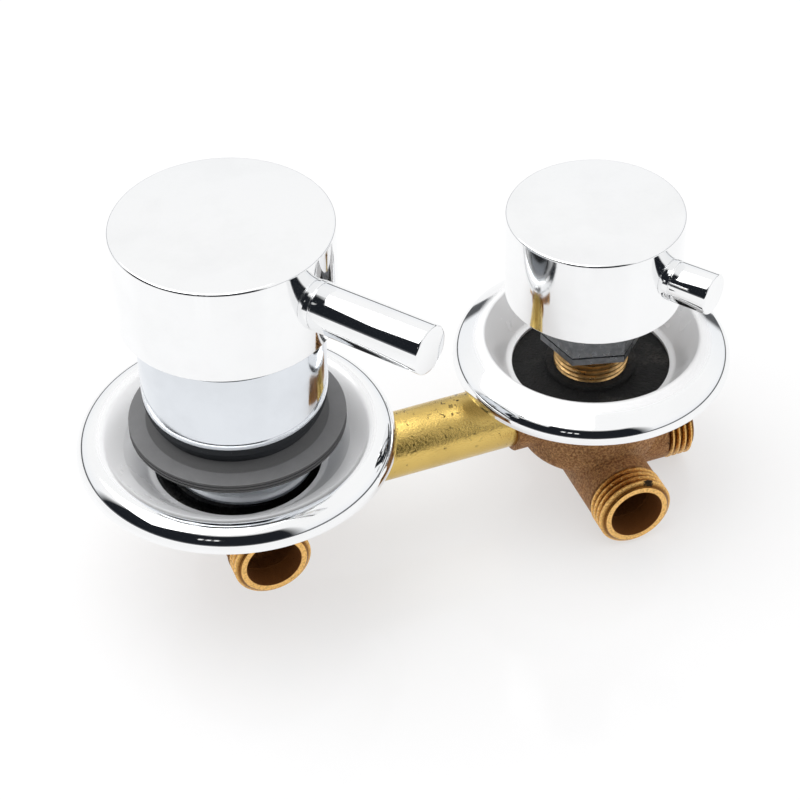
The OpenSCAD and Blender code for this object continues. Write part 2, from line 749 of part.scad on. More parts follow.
module gasket_ring() {
    hug_r = sleeve_r + 2 * slip;
    color("dimgray") difference() {
        turned([
            [hug_r, ring_z], [ring_r - 0.3, ring_z], [ring_r, ring_z + 0.3],
            [ring_r, ring_z + ring_h - 0.3], [ring_r - 0.3, ring_z + ring_h],
            [ring_flat_r, ring_z + ring_h], [flare_foot_r + 0.1, bonnet_z], [hug_r, bonnet_z]
        ]);
        for (k = [1, 2]) {
            translate([0, 0, ring_z + k * ring_h / 3 - ring_groove / 2]) rotate_extrude()
                translate([ring_r - ring_groove, 0]) square([2, ring_groove]);
        }
    }
}

module mixer_escutcheon() {
    color("lightgray") translate([mixer_plate_shift, 0, mixer_seat_z])
        cover_plate(mixer_plate_r, mixer_plate_hole_r, [mixer_crest_r, mixer_crest_h], mixer_rim_r,
            mixer_edge_h);
}

module mixer_handle() {
    color("gainsboro") rotate([0, 0, mixer_azimuth]) translate([0, 0, handle_z]) difference() {
        union() {
            cup(handle_r, handle_h, handle_wall, handle_roof);
            translate([0, 0, hub_lift]) cylinder(r = hub_r, h = handle_h - handle_roof - hub_lift + 1);
            translate([0, 0, lever_h]) bar(rib_r, 0, handle_bore_r + handle_wall / 2);
        }
        translate([-stem_w / 2 - slip, -stem_t / 2 - slip, 0])
            cube([stem_w + 2 * slip, stem_t + 2 * slip, stem_top + 0.3]);
        translate([0, 0, lever_h]) {
            bar(lever_r + 3 * slip, lever_root - 0.1, 2 * handle_r);
            bar(spigot_r + slip, spigot_root - 0.2, handle_r);
            bar(grub_r + slip, 0, spigot_root);
        }
    }
}

module mixer_lever() {
    color("gainsboro") rotate([0, 0, mixer_azimuth]) translate([0, 0, handle_z + lever_h])
        lever_bar(lever_r, lever_root, lever_end, handle_r, spigot_r, spigot_root);
}

module mixer_screw() {
    color("dimgray") rotate([0, 0, mixer_azimuth]) translate([0, 0, handle_z + lever_h])
        grub(grub_r, stem_w / 2 + 0.1, spigot_root - 3);
}

module headpart() {
    corner_r = hex_af / 2 / cos(30);
    shank_top = floor(thread_show / head_thread_pitch - 0.2);
    thread_root = head_thread_r - head_thread_depth;
    color("silver") translate([axis_gap, 0, 0]) difference() {
        union() {
            turned(concat(
                [[0, bowl_floor_z + free_gap], [cage_r, bowl_floor_z + free_gap], [cage_r, neck_z + 0.2],
                 [head_thread_r, neck_z + 1], [head_thread_r, boss_z - 0.4], [thread_root, boss_z + 0.2]],
                crests(shank_top, head_thread_pitch, 0.3, thread_root, head_thread_r, boss_z + 0.2),
                [[thread_root, hex_z + 0.1], [0, hex_z + 0.1]]
            ));
            intersection() {
                translate([0, 0, hex_z]) rotate([0, 0, hex_azimuth - 30]) cylinder(r = corner_r, h = hex_h, $fn = 6);
                turned([
                    [0, hex_z], [corner_r + 0.2, hex_z], [corner_r + 0.2, hex_top_z - 1.2],
                    [hex_af / 2 - 0.3, hex_top_z], [0, hex_top_z]
                ]);
            }
            translate([0, 0, hex_top_z - 1]) cylinder(r = head_neck_r, h = head_neck_h + 1);
        }
        translate([0, 0, hex_z + hex_groove_z]) rotate_extrude()
            translate([hex_af / 2 - hex_groove, 0]) square([hex_af, hex_groove]);
        cylinder(r = cage_bore_r, h = cage_roof_z);
        cylinder(r = spindle_r + running, h = 2 * long);
        for (a = [0, 90]) {
            rotate([0, 0, a]) translate([-cage_r - 1, -window_w / 2, rotor_top_z + 0.1])
                cube([2 * cage_r + 2, window_w, window_h]);
        }
    }
}

module seat_seal() {
    color("black") translate([axis_gap, 0, 0]) difference() {
        translate([0, 0, bowl_floor_z]) cylinder(r = cage_bore_r - slip, h = seat_seal_h);
        rise_holes(0, stator_z + 1);
    }
}

module stator_disc() {
    color("ivory") translate([axis_gap, 0, 0]) difference() {
        translate([0, 0, stator_z]) cylinder(r = cage_bore_r - slip, h = disc_h);
        rise_holes(stator_z - 1, rotor_z + 1);
    }
}

module rotor_disc() {
    color("white") translate([axis_gap, 0, rotor_z]) rotate([0, 0, diverter_azimuth]) difference() {
        cylinder(r = rotor_r, h = disc_h);
        translate([rise_at, 0, -1]) cylinder(r = rise_r, h = disc_h + 2);
        translate([-1.5, -rotor_r, disc_h - key_h - 0.1]) cube([3, 2 * rotor_r, disc_h]);
    }
}

module diverter_spindle() {
    key_z = rotor_top_z - key_h;
    color("goldenrod") translate([axis_gap, 0, 0]) rotate([0, 0, diverter_azimuth]) difference() {
        union() {
            translate([-1.4, -rotor_r + 1, key_z]) cube([2.8, 2 * rotor_r - 2, key_h]);
            translate([0, 0, rotor_top_z - eps]) cylinder(r = 3, h = flange_z - rotor_top_z + 1);
            translate([0, 0, flange_z]) cylinder(r = rotor_r, h = cage_roof_z - free_gap - flange_z);
            translate([0, 0, flange_z]) cylinder(r = spindle_r, h = clip_z + clip_t + 0.8 - flange_z);
            translate([-drive_w / 2, -drive_w / 2, clip_z + clip_t])
                cube([drive_w, drive_w, knob_z + drive_top - clip_z - clip_t]);
        }
        for (z = spindle_seals_z) {
            translate([0, 0, z - spindle_seal_r - 0.1]) rotate_extrude()
                translate([spindle_seal_ring_r - spindle_seal_r - 0.03, 0])
                square([3, 2 * spindle_seal_r + 0.2]);
        }
        translate([0, 0, clip_z - 0.05]) rotate_extrude()
            translate([spindle_r - 0.8, 0]) square([3, clip_t + 0.1]);
    }
}

module spindle_seals() {
    color("black") translate([axis_gap, 0, 0]) for (z = spindle_seals_z) {
        translate([0, 0, z]) rotate_extrude()
            translate([spindle_seal_ring_r, 0]) circle(r = spindle_seal_r);
    }
}

module spindle_clip() {
    color("silver") translate([axis_gap, 0, clip_z]) difference() {
        cylinder(r = clip_r, h = clip_t);
        translate([0, 0, -1]) cylinder(r = spindle_r - 0.75, h = clip_t + 2);
        rotate([0, 0, diverter_azimuth + 90]) translate([0, -clip_gap / 2, -1])
            cube([2 * clip_r, clip_gap, clip_t + 2]);
    }
}

module diverter_escutcheon() {
    color("lightgray") translate([axis_gap, 0, diverter_seat_z])
        cover_plate(diverter_plate_r, diverter_plate_hole_r, [diverter_crest_r, diverter_crest_h],
            diverter_rim_r, diverter_edge_h);
}

module diverter_handle() {
    color("gainsboro") translate([axis_gap, 0, knob_z]) rotate([0, 0, diverter_azimuth]) difference() {
        union() {
            cup(knob_r, knob_h, knob_wall, knob_roof);
            translate([0, 0, knob_hub_lift])
                cylinder(r = knob_hub_r, h = knob_h - knob_roof - knob_hub_lift + 1);
            translate([0, 0, knob_lever_h]) bar(knob_rib_r, 0, knob_bore_r + knob_wall / 2);
        }
        translate([-drive_w / 2 - slip, -drive_w / 2 - slip, 0])
            cube([drive_w + 2 * slip, drive_w + 2 * slip, drive_top + 0.3]);
        translate([0, 0, knob_lever_h]) {
            bar(knob_lever_r + 3 * slip, knob_lever_root - 0.1, 2 * knob_r);
            bar(knob_spigot_r + slip, knob_spigot_root - 0.2, knob_r);
            bar(knob_grub_r + slip, 0, knob_spigot_root);
        }
    }
}

module diverter_lever() {
    color("gainsboro") translate([axis_gap, 0, knob_z + knob_lever_h]) rotate([0, 0, diverter_azimuth])
        lever_bar(knob_lever_r, knob_lever_root, knob_lever_end, knob_r, knob_spigot_r, knob_spigot_root);
}

module diverter_screw() {
    color("dimgray") translate([axis_gap, 0, knob_z + knob_lever_h]) rotate([0, 0, diverter_azimuth])
        grub(knob_grub_r, drive_w / 2 + 0.1, knob_spigot_root - 3);
}

mixer_body();
mixer_tower();
connecting_tube();
diverter_body();
cartridge_base();
base_seals();
fixed_disc();
moving_disc();
disc_carrier();
cartridge_housing();
stem_driver();
stem_pin();
mixer_stem();
retaining_nut();
sleeve_seals();
bonnet();
gasket_ring();
mixer_escutcheon();
mixer_handle();
mixer_lever();
mixer_screw();
headpart();
seat_seal();
stator_disc();
rotor_disc();
diverter_spindle();
spindle_seals();
spindle_clip();
diverter_escutcheon();
diverter_handle();
diverter_lever();
diverter_screw();
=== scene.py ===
"""Finish of a concealed shower mixer valve: chrome trim, cast brass bodies, rubber ring and a white studio.

Run as a script. Lengths are in metres unless a name ends in _mm. The frame gives every solid and its place.
"""

import json
import math

import bmesh
import bpy
import numpy as np
from bpy.props import FloatProperty, FloatVectorProperty, IntProperty, PointerProperty
from mathutils import Matrix, Vector


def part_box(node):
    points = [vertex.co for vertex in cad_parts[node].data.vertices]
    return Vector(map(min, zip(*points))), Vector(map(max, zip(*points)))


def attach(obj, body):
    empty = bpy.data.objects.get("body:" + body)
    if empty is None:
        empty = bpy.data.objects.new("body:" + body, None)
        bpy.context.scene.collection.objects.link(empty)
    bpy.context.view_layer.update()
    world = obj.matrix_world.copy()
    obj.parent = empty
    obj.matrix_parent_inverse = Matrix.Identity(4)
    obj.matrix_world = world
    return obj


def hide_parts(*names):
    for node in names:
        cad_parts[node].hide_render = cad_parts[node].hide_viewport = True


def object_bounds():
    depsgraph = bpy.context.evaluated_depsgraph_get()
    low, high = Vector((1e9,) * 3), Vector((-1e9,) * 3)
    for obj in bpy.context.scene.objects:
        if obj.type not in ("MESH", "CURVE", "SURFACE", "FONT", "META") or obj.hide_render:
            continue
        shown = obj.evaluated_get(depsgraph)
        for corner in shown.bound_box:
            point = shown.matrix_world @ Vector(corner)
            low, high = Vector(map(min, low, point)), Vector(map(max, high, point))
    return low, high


bl_info = {
    "name": "Shower Mixer Valve Finish",
    "version": (1, 0, 0),
    "blender": (4, 5, 0),
    "location": "3D View > Sidebar > Shower Valve",
    "description": "Chrome, brass, rubber and studio for a concealed shower mixer valve",
    "category": "Object",
}

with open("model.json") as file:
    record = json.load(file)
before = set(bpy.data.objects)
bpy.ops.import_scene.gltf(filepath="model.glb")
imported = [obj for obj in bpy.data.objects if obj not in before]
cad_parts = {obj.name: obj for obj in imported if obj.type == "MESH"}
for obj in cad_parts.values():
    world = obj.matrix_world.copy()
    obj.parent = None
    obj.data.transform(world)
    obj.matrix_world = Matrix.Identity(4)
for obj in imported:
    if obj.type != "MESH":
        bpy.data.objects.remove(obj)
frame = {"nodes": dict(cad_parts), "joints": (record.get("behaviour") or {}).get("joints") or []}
CAD_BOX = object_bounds()
NODES = frame["nodes"]
MM = 0.001


def joint(name):
    """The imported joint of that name."""
    return next(j for j in frame["joints"] if j["name"] == name)


def heading(name):
    """Unit vector, in the plan, that a lever bar points along, from its solid's own box."""
    low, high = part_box(name)
    middle = (low + high) / 2
    axis_x = DIVERTER_X if name.startswith("diverter") else 0.0
    way = Vector((middle.x - axis_x, middle.y, 0.0))
    return way.normalized()


DIVERTER_X = joint("diverter_turn")["pos_m"][0]
PIVOT_Z = joint("mixer_tilt")["pos_m"][2]
FLOOR_Z = CAD_BOX[0].z
SCAR = (0.1037, -0.0314, 0.0096)


class TrimSizes(bpy.types.PropertyGroup):
    """Sizes of the bright trim that the frame's boxes don't give."""

    turns: IntProperty(name="Facets round", description="Steps round a turned piece", default=224, min=48, max=512)
    edge: FloatProperty(name="Edge rounding", description="Rounding of the handle edges", default=0.75 * MM,
                        min=0.1 * MM, max=2 * MM, unit="LENGTH")
    handle_wall: FloatProperty(name="Handle wall", description="Side wall of the mixer handle", default=2.0 * MM,
                               unit="LENGTH")
    handle_roof: FloatProperty(name="Handle roof", description="Roof of the mixer handle", default=4.6 * MM,
                               unit="LENGTH")
    knob_wall: FloatProperty(name="Knob wall", description="Side wall of the diverter handle", default=1.8 * MM,
                             unit="LENGTH")
    knob_roof: FloatProperty(name="Knob roof", description="Roof of the diverter handle", default=4.0 * MM,
                             unit="LENGTH")
    lever_groove: FloatProperty(name="Lever groove", description="Depth of the groove at a lever's root",
                                default=0.4 * MM, unit="LENGTH")
    sheet: FloatProperty(name="Sheet", description="Thickness of the cover plates", default=1.0 * MM, unit="LENGTH")
    ring_groove: FloatProperty(name="Ring groove", description="Width of the grooves in the seal ring's edge",
                               default=0.35 * MM, unit="LENGTH")


class FinishColours(bpy.types.PropertyGroup):
    """Colours of the finishes."""

    chrome: FloatVectorProperty(name="Chrome", description="Bright chrome", subtype="COLOR", size=3,
                                default=(0.93, 0.935, 0.94), min=0, max=1)
    brass: FloatVectorProperty(name="Polished brass", description="Tube brass", subtype="COLOR", size=3,
                               default=(0.72, 0.51, 0.155), min=0, max=1)
    casting: FloatVectorProperty(name="Casting", description="Rough cast brass", subtype="COLOR", size=3,
                                 default=(0.27, 0.116, 0.038), min=0, max=1)
    rubber: FloatVectorProperty(name="Grey rubber", description="Seal ring", subtype="COLOR", size=3,
                                default=(0.165, 0.165, 0.168), min=0, max=1)


class StudioSettings(bpy.types.PropertyGroup):
    """Camera and light of the studio."""

    eye: FloatVectorProperty(name="Eye", description="Place of the camera", subtype="TRANSLATION", size=3,
                             default=(-0.12323, -0.46315, 0.45973))
    aim: FloatVectorProperty(name="Aim", description="Unit vector that the camera looks along", size=3,
                             default=(0.25760, 0.71092, -0.65439))
    right: FloatVectorProperty(name="Right", description="Unit vector to the right of the picture", size=3,
                               default=(0.93308, -0.35895, -0.02265))
    lens: FloatProperty(name="Lens", description="Focal length in millimetres", default=110.655)
    key: FloatProperty(name="Key light", description="Power of the soft light above", default=5.0, unit="POWER")
    fill: FloatProperty(name="Fill", description="Strength of the white surroundings", default=0.92)


# Meshes


def corner_arc(before, corner, after, radius, steps):
    """Points of the arc that rounds one corner of an outline: a circle of that radius touching both sides."""
    a = (before - corner) / np.linalg.norm(before - corner)
    b = (after - corner) / np.linalg.norm(after - corner)
    half = math.acos(float(np.clip(a @ b, -1, 1))) / 2
    reach = radius / math.tan(half)
    start, end = corner + a * reach, corner + b * reach
    centre = corner + (a + b) / np.linalg.norm(a + b) * radius / math.sin(half)
    first, last = start - centre, end - centre
    turn = math.acos(float(np.clip(first @ last / radius**2, -1, 1)))
    t = np.linspace(0, 1, steps)[:, None]
    return centre + (np.sin((1 - t) * turn) * first + np.sin(t * turn) * last) / math.sin(turn)


def rounded_outline(points, steps=7):
    """Closed outline of [radius, height, rounding] corners, each rounded corner given as an arc of points."""
    corners = np.array([p[:2] for p in points], float)
    parts = []
    for k, (x, z, rounding) in enumerate(points):
        if rounding:
            parts.append(corner_arc(corners[k - 1], corners[k], corners[(k + 1) % len(points)], rounding, steps))
        else:
            parts.append(corners[k:k + 1])
    return np.vstack(parts)


def arc(centre, radius, start, end, steps):
    """Points of an arc from one angle to another, in degrees: centre plus radius times cosine and sine."""
    t = np.radians(np.linspace(start, end, steps))
    return np.stack([centre[0] + radius * np.cos(t), centre[1] + radius * np.sin(t)], -1)


def mesh_piece(name, points, faces, body, material, replaced=()):
    """Makes a mesh object of the points and faces, closes its poles, points its faces outwards and rides it."""
    mesh = bpy.data.meshes.new(name)
    mesh.from_pydata(points.tolist(), [], faces.tolist())
    tidy = bmesh.new()
    tidy.from_mesh(mesh)
    bmesh.ops.remove_doubles(tidy, verts=tidy.verts, dist=1e-7)
    bmesh.ops.recalc_face_normals(tidy, faces=tidy.faces)
    tidy.to_mesh(mesh)
    tidy.free()
    mesh.shade_smooth()
    mesh.set_sharp_from_angle(angle=math.radians(28))
    piece = bpy.data.objects.new(name, mesh)
    bpy.context.scene.collection.objects.link(piece)
    mesh.materials.append(material)
    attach(piece, body)
    if replaced:
        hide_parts(*replaced)
    return piece


def turned_surface(outline, turns, closed):
    """Surface of revolution about +Z: the outline's radius and height at each angle, as one grid of quads."""
    angle = np.arange(turns) * 2 * math.pi / turns
    radius, height = outline[:, :1], outline[:, 1:]
    points = np.stack([radius * np.cos(angle), radius * np.sin(angle), height + 0 * angle], -1).reshape(-1, 3)
    rows = len(outline) if closed else len(outline) - 1
    i, j = np.meshgrid(np.arange(rows), np.arange(turns), indexing="ij")
    n, m = (i + 1) % len(outline), (j + 1) % turns
    faces = np.stack([i * turns + j, i * turns + m, n * turns + m, n * turns + j], -1).reshape(-1, 4)
    return points, faces


def placed(points, origin, along=(0, 0, 1)):
    """Points turned so that their +Z lies along a direction, and moved to an origin."""
    turn = np.array(Vector(along).to_track_quat("Z", "Y").to_matrix())
    return points @ turn.T + np.array(origin)


# Node groups shared by several finishes


def new_group(name, inputs, outputs):
    """An empty shader node group with float, colour or vector sockets, and its input and output nodes."""
    group = bpy.data.node_groups.new(name, "ShaderNodeTree")
    kinds = {"value": "NodeSocketFloat", "colour": "NodeSocketColor", "vector": "NodeSocketVector"}
    for socket, kind, default in inputs:
        made = group.interface.new_socket(name=socket, in_out="INPUT", socket_type=kinds[kind])
        if default is not None:
            made.default_value = default
    for socket, kind in outputs:
        group.interface.new_socket(name=socket, in_out="OUTPUT", socket_type=kinds[kind])
    return group, group.nodes.new("NodeGroupInput"), group.nodes.new("NodeGroupOutput")


def add(tree, kind, **settings):
    """A node of that kind. A setting named after a socket sets or links it, any other sets the property."""
    node = tree.nodes.new(kind)
    for key, value in settings.items():
        if key.startswith("in_"):
            socket = node.inputs[int(key[3:])] if key[3:].isdigit() else node.inputs[key[3:].replace("_", " ")]
            if isinstance(value, bpy.types.NodeSocket):
                tree.links.new(value, socket)
            else:
                socket.default_value = value
        else:
            setattr(node, key, value)
    return node


def maths(tree, operation, a, b=0.0, clamp=False):
    """Output of a maths node on two values or sockets."""
    return add(tree, "ShaderNodeMath", operation=operation, use_clamp=clamp, in_0=a, in_1=b).outputs[0]


def noise(tree, where, scale, detail=3.0, roughness=0.5):
    """Output value of a noise at a scale, in features to the metre."""
    return add(tree, "ShaderNodeTexNoise", in_Vector=where, in_Scale=scale, in_Detail=detail,
               in_Roughness=roughness).outputs["Fac"]


def ramp(tree, value, low, high, to_low=0.0, to_high=1.0):
    """Value stretched so that low gives to_low and high gives to_high, clamped."""
    return add(tree, "ShaderNodeMapRange", in_Value=value, in_From_Min=low, in_From_Max=high,
               in_To_Min=to_low, in_To_Max=to_high).outputs["Result"]


def mixed(tree, share, a, b):
    """Colour between two colours or sockets."""
    node = add(tree, "ShaderNodeMix", data_type="RGBA")
    for socket, value in ((node.inputs[0], share), (node.inputs[6], a), (node.inputs[7], b)):
        if isinstance(value, bpy.types.NodeSocket):
            tree.links.new(value, socket)
        else:
            socket.default_value = value
    return node.outputs[2]


def smudge_group():
    """Handling marks on bright metal: cloudy smears and fine hairline scratches, as a mask and a height."""
    group, given, out = new_group(
        "Handling marks",
        [("Position", "vector", None), ("Smear Scale", "value", 60.0), ("Smear Amount", "value", 0.5)],
        [("Mask", "value"), ("Height", "value")],
    )
    where = given.outputs["Position"]
    scaled = add(group, "ShaderNodeVectorMath", operation="SCALE", in_0=where)
    group.links.new(given.outputs["Smear Scale"], scaled.inputs["Scale"])
    cloud = noise(group, scaled.outputs[0], 1.0, 4.0, 0.6)
    smear = ramp(group, cloud, 0.48, 0.72)
    speck = ramp(group, noise(group, where, 1400.0, 2.0), 0.70, 0.78)
    both = maths(group, "MAXIMUM", maths(group, "MULTIPLY", smear, given.outputs["Smear Amount"]),
                 maths(group, "MULTIPLY", speck, 0.35))
    group.links.new(both, out.inputs["Mask"])
    stretched = add(group, "ShaderNodeMapping", in_Vector=where)
    stretched.inputs["Scale"].default_value = (200.0, 200.0, 6000.0)
    hair = noise(group, stretched.outputs[0], 1.0, 2.0)
    group.links.new(maths(group, "MULTIPLY", hair, 0.15), out.inputs["Height"])
    return group


def cast_group():
    """Sand-cast skin: broad lumps, grain, dark pits and pale worn patches, as masks and a height."""
    group, given, out = new_group(
        "Sand cast skin",
        [("Position", "vector", None), ("Grain", "value", 1100.0)],
        [("Pits", "value"), ("Worn", "value"), ("Tone", "value"), ("Fleck", "value"), ("Height", "value")],
    )
    where = given.outputs["Position"]
    lumps = noise(group, where, 170.0, 3.0, 0.55)
    scaled = add(group, "ShaderNodeVectorMath", operation="SCALE", in_0=where)
    group.links.new(given.outputs["Grain"], scaled.inputs["Scale"])
    grain = noise(group, scaled.outputs[0], 1.0, 4.0, 0.65)
    specks = ramp(group, noise(group, where, 900.0, 3.0, 0.6), 0.64, 0.72)
    pits = maths(group, "MULTIPLY", specks, ramp(group, noise(group, where, 230.0), 0.46, 0.60))
    worn = maths(group, "MULTIPLY", ramp(group, noise(group, where, 95.0, 3.0), 0.54, 0.68), ramp(group, grain, 0.38, 0.6))
    height = maths(group, "ADD", maths(group, "MULTIPLY", lumps, 0.8), maths(group, "MULTIPLY", grain, 0.75))
    height = maths(group, "SUBTRACT", height, maths(group, "MULTIPLY", pits, 0.7))
    for socket, value in (("Pits", pits), ("Worn", worn), ("Tone", noise(group, where, 60.0, 3.0)),
                          ("Fleck", ramp(group, grain, 0.42, 0.62)), ("Height", height)):
        group.links.new(value, out.inputs[socket])
    return group


def start_material(name, colour, metallic, roughness):
    """A new node material, its shader with those plain values, and the object's own coordinates."""
    material = bpy.data.materials.new(name)
    material.use_nodes = True
    tree = material.node_tree
    shader = tree.nodes["Principled BSDF"]
    shader.inputs["Base Color"].default_value = (*colour, 1.0)
    shader.inputs["Metallic"].default_value = metallic
    shader.inputs["Roughness"].default_value = roughness
    where = tree.nodes.new("ShaderNodeTexCoord").outputs["Object"]
    return material, tree, shader, where


def placed_group(tree, name, **values):
    """An instance of a shared node group with its own values or links."""
    node = tree.nodes.new("ShaderNodeGroup")
    node.node_tree = bpy.data.node_groups[name]
    for key, value in values.items():
        socket = node.inputs[key.replace("_", " ")]
        if isinstance(value, bpy.types.NodeSocket):
            tree.links.new(value, socket)
        else:
            socket.default_value = value
    return node


def bump(tree, shader, height, distance, strength=1.0):
    """Feeds a height to the shader's normal through a bump of that depth in metres."""
    node = add(tree, "ShaderNodeBump", in_Height=height, in_Distance=distance, in_Strength=strength)
    tree.links.new(node.outputs["Normal"], shader.inputs["Normal"])


def axis_distance(tree, where, axis_x):
    """Distance of a place from the upright line at x = axis_x, y = 0."""
    offset = add(tree, "ShaderNodeVectorMath", operation="SUBTRACT", in_0=where, in_1=(axis_x, 0.0, 0.0)).outputs[0]
    flat = add(tree, "ShaderNodeVectorMath", operation="MULTIPLY", in_0=offset, in_1=(1.0, 1.0, 0.0)).outputs[0]
    return add(tree, "ShaderNodeVectorMath", operation="LENGTH", in_0=flat).outputs["Value"]


def chrome_material(name, colour, roughness, smear_scale, smear_amount, painted_white_face=None):
    """Bright chrome: a mirror with faint smears that dull it a little and hairlines too fine to see from afar.

    The last argument is (axis_x, inner radius, outer radius): inside the inner radius the face is painted near white,
    barely metallic and rougher, a painted reflection of the white surroundings, and past the outer radius it is bright
    chrome.
    """
    material, tree, shader, where = start_material(name, colour, 1.0, roughness)
    marks = placed_group(tree, "Handling marks", Position=where, Smear_Scale=smear_scale, Smear_Amount=smear_amount)
    rough = ramp(tree, marks.outputs["Mask"], 0.0, 1.0, roughness, roughness + 0.13)
    tree.links.new(rough, shader.inputs["Roughness"])
    tint = mixed(tree, marks.outputs["Mask"], (*colour, 1.0), (*[c * 0.93 for c in colour], 1.0))
    # Painted reflection: inside the inner radius the face is painted near white, with little metal and more roughness,
    # in place of the mirrored white surroundings.
    if painted_white_face:
        painted_white_share = ramp(tree, axis_distance(tree, where, painted_white_face[0]), painted_white_face[1], painted_white_face[2], 1.0, 0.0)
        tree.links.new(maths(tree, "ADD", rough, maths(tree, "MULTIPLY", painted_white_share, 0.2)), shader.inputs["Roughness"])
        tree.links.new(ramp(tree, painted_white_share, 0.0, 1.0, 1.0, 0.12), shader.inputs["Metallic"])
        tint = mixed(tree, painted_white_share, tint, (0.97, 0.97, 0.975, 1.0))
    tree.links.new(tint, shader.inputs["Base Color"])
    bump(tree, shader, marks.outputs["Height"], 0.000002, 0.5)
    return material


def casting_material(name, colour, machined, ports, top, scar=None):
    """Rough cast brass with pits and worn patches, turned bright at the ports, with painted shade in the thread
    grooves and inside the bores, and painted near black above the height top as shade under the cover plate.

    ports is a list of (axis, point on the port's axis, distance from it past which the metal is turned).
    scar is a point on the skin, where a small dark blowhole shows.
    """
    material, tree, shader, where = start_material(name, colour, 0.4, 0.6)
    skin = placed_group(tree, "Sand cast skin", Position=where, Grain=1600.0)
    facing = add(tree, "ShaderNodeSeparateXYZ", in_0=where.node.outputs["Normal"])
    cut = groove = hollow = None
    for axis, point, distance in ports:
        offset = add(tree, "ShaderNodeVectorMath", operation="SUBTRACT", in_0=where, in_1=point).outputs[0]
        keep = (0.0, 1.0, 1.0) if axis == "X" else (1.0, 0.0, 1.0)
        across = add(tree, "ShaderNodeVectorMath", operation="MULTIPLY", in_0=offset, in_1=keep).outputs[0]
        radius = add(tree, "ShaderNodeVectorMath", operation="LENGTH", in_0=across).outputs["Value"]
        along = add(tree, "ShaderNodeSeparateXYZ", in_0=offset).outputs[axis]
        if axis == "Y":
            along = maths(tree, "ABSOLUTE", along)
        edge = maths(tree, "MULTIPLY", ramp(tree, along, distance - 0.0002, distance + 0.0002),
                     ramp(tree, radius, 0.0116, 0.0112))
        flank = ramp(tree, maths(tree, "ABSOLUTE", facing.outputs[axis]), 0.97, 0.93)
        # low masks the thread grooves, which are painted dark further down as shade.
        low = maths(tree, "MULTIPLY", edge, maths(tree, "MULTIPLY", flank, ramp(tree, radius, 0.0103, 0.0095)))
        # inside masks the bore, which is painted dark further down as shade.
        inside = maths(tree, "MULTIPLY", ramp(tree, along, 0.011, 0.012), ramp(tree, radius, 0.0076, 0.00745))
        cut = edge if cut is None else maths(tree, "MAXIMUM", cut, edge)
        groove = low if groove is None else maths(tree, "MAXIMUM", groove, low)
        hollow = inside if hollow is None else maths(tree, "MAXIMUM", hollow, inside)
    height = add(tree, "ShaderNodeSeparateXYZ", in_0=where).outputs["Z"]
    upper = ramp(tree, height, top - 0.0003, top - 0.0001)
    deep = tuple(c * 0.3 for c in colour)
    warm = tuple(min(1.0, c * f) for c, f in zip(colour, (1.5, 1.45, 1.4)))
    tone = mixed(tree, ramp(tree, skin.outputs["Tone"], 0.35, 0.65), (*colour, 1.0), (*warm, 1.0))
    tone = mixed(tree, maths(tree, "MULTIPLY", skin.outputs["Fleck"], 0.75), tone, (0.80, 0.46, 0.19, 1.0))
    tone = mixed(tree, maths(tree, "MULTIPLY", skin.outputs["Worn"], 0.35), tone, (0.62, 0.46, 0.30, 1.0))
    tone = mixed(tree, skin.outputs["Pits"], tone, (*deep, 1.0))
    # Painted shade: above the height top, under the cover plate, the casting is painted near black, a little lighter
    # in patches.
    painted_shade_under_plate = mixed(tree, skin.outputs["Worn"], (0.018, 0.018, 0.018, 1.0), (0.10, 0.095, 0.085, 1.0))
    tone = mixed(tree, upper, tone, painted_shade_under_plate)
    rings = noise(tree, where, 1700.0, 4.0, 0.6)
    bright = mixed(tree, ramp(tree, rings, 0.44, 0.68), (*machined, 1.0), (*[c * 0.62 for c in machined], 1.0))
    # Painted shade: the thread grooves are painted dark brown.
    bright = mixed(tree, groove, bright, (*[c * f for c, f in zip(machined, (0.26, 0.19, 0.12))], 1.0))
    tone = mixed(tree, cut, tone, bright)
    # Painted shade: inside the bore the colour is painted dark warm brown, and the roughness is raised to hide
    # highlights.
    tone = mixed(tree, hollow, tone, (*[c * f for c, f in zip(machined, (0.21, 0.12, 0.055))], 1.0))
    if scar is not None:
        gap = add(tree, "ShaderNodeVectorMath", operation="SUBTRACT", in_0=where, in_1=scar).outputs[0]
        gap = add(tree, "ShaderNodeVectorMath", operation="MULTIPLY", in_0=gap, in_1=(0.55, 1.0, 0.6)).outputs[0]
        away = add(tree, "ShaderNodeVectorMath", operation="LENGTH", in_0=gap).outputs["Value"]
        ragged = maths(tree, "ADD", away, maths(tree, "MULTIPLY", noise(tree, where, 1100.0, 3.0), 0.0016))
        tone = mixed(tree, ramp(tree, ragged, 0.00175, 0.00150), tone, (0.03, 0.02, 0.012, 1.0))
    tree.links.new(tone, shader.inputs["Base Color"])
    rough = maths(tree, "SUBTRACT", ramp(tree, skin.outputs["Pits"], 0.0, 1.0, 0.55, 0.85), maths(tree, "MULTIPLY", cut, 0.32))
    tree.links.new(maths(tree, "MAXIMUM", rough, hollow), shader.inputs["Roughness"])
    tree.links.new(ramp(tree, maths(tree, "SUBTRACT", cut, hollow), 0.0, 1.0, 0.4, 1.0), shader.inputs["Metallic"])
    relief = maths(tree, "MULTIPLY", skin.outputs["Height"], ramp(tree, cut, 0.0, 1.0, 1.0, 0.2))
    bump(tree, shader, relief, 0.0015)
    return material


